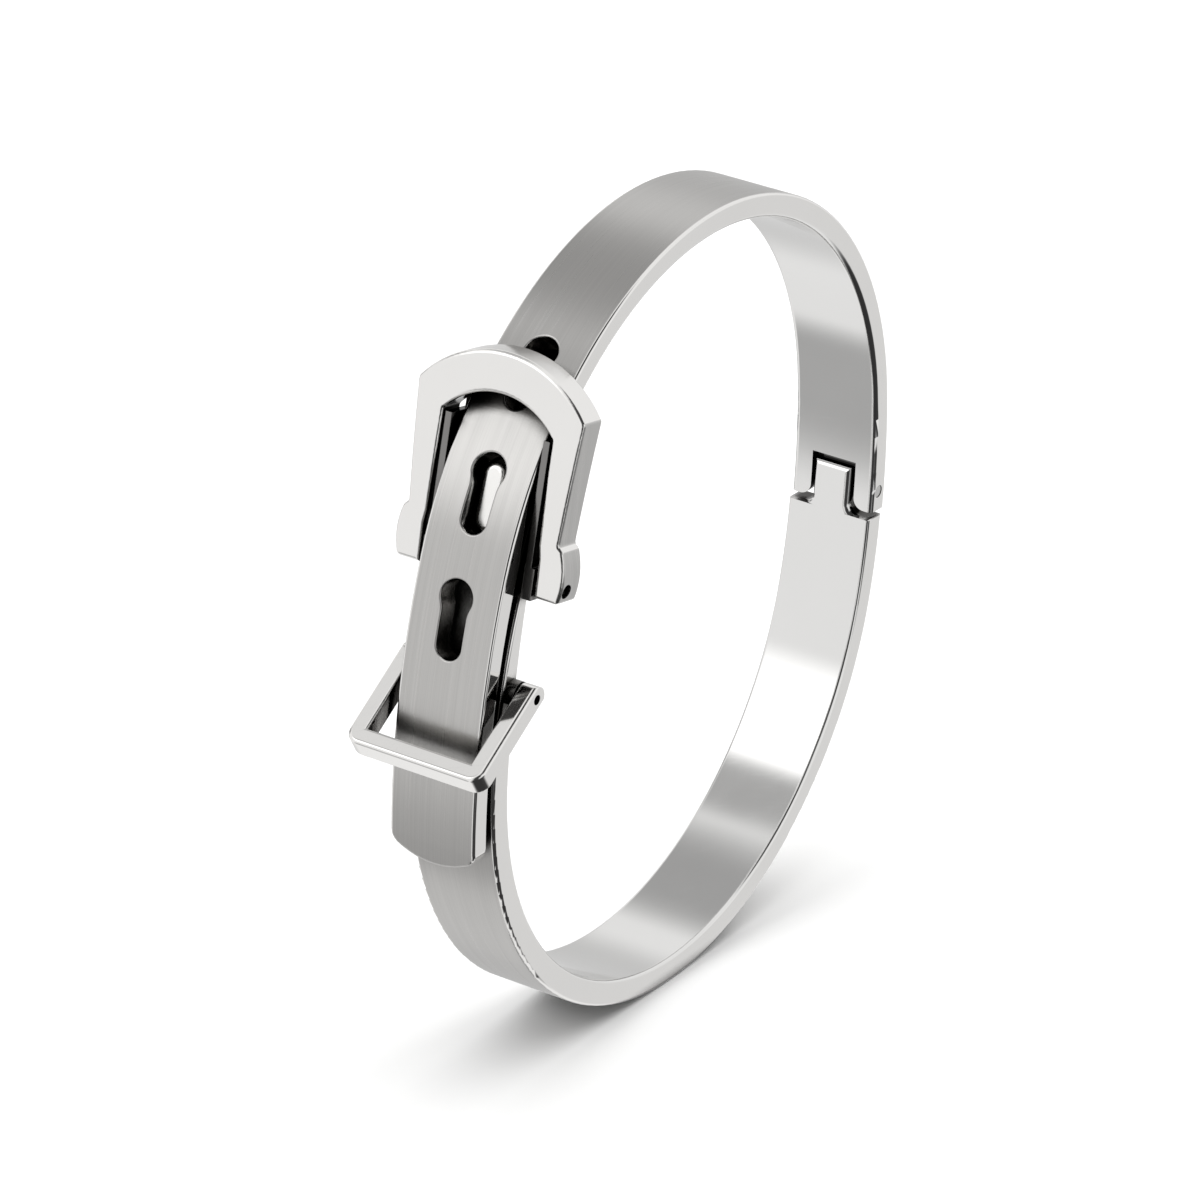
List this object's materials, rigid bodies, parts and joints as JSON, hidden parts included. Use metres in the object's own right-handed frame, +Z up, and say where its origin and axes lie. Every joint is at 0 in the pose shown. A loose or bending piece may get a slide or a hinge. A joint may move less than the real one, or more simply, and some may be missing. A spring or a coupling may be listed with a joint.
{
  "type": "belt buckle bangle",
  "caption": "Hinged steel bangle shaped as a strap and buckle: brushed oval band, slotted tongue, polished arch frame on lug pins and a swinging square keeper.",
  "frame": {"origin": "centre of the wrist opening, midway across the band", "axes": "+X across the band along the wrist's axis, -Y towards the buckle, +Y towards the hinge, +Z up the long way of the oval, towards the buckle's arch"},
  "size_m": [0.014, 0.0591, 0.0621],
  "materials": {
    "brushed_band": "satin brushed outside, polished sides and inside",
    "polished_steel": "mirror polished",
    "pin_steel": "turned"
  },
  "bodies": {
    "lower_half": {"lower_band": "brushed_band", "buckle_base": "polished_steel", "buckle_pins": "pin_steel", "locking_stud": "polished_steel", "keeper_spacers": "pin_steel", "keeper_pin": "pin_steel"},
    "upper_half": {"upper_band": "brushed_band", "hinge_pin": "pin_steel"},
    "buckle": {"buckle_frame": "polished_steel"},
    "keeper": {"keeper_loop": "polished_steel"}
  },
  "joints": [
    {"name": "band_hinge", "type": "hinge", "parent": "lower_half", "child": "upper_half", "pos_m": [0, 0.0261, 0], "axis": [-1, 0, 0], "range_deg": [0, 75]},
    {"name": "buckle_flip", "type": "hinge", "parent": "lower_half", "child": "buckle", "pos_m": [0, -0.02395, 0.0105], "axis": [1, 0, 0], "range_deg": [0, 110]},
    {"name": "keeper_swing", "type": "hinge", "parent": "lower_half", "child": "keeper", "pos_m": [0, -0.02495, 0.0022], "axis": [-1, 0, 0], "range_deg": [0, 60]}
  ],
  "couplings": [
    {"joint": "buckle_flip", "follows": "band_hinge", "ratio": 1.4666}
  ]
}
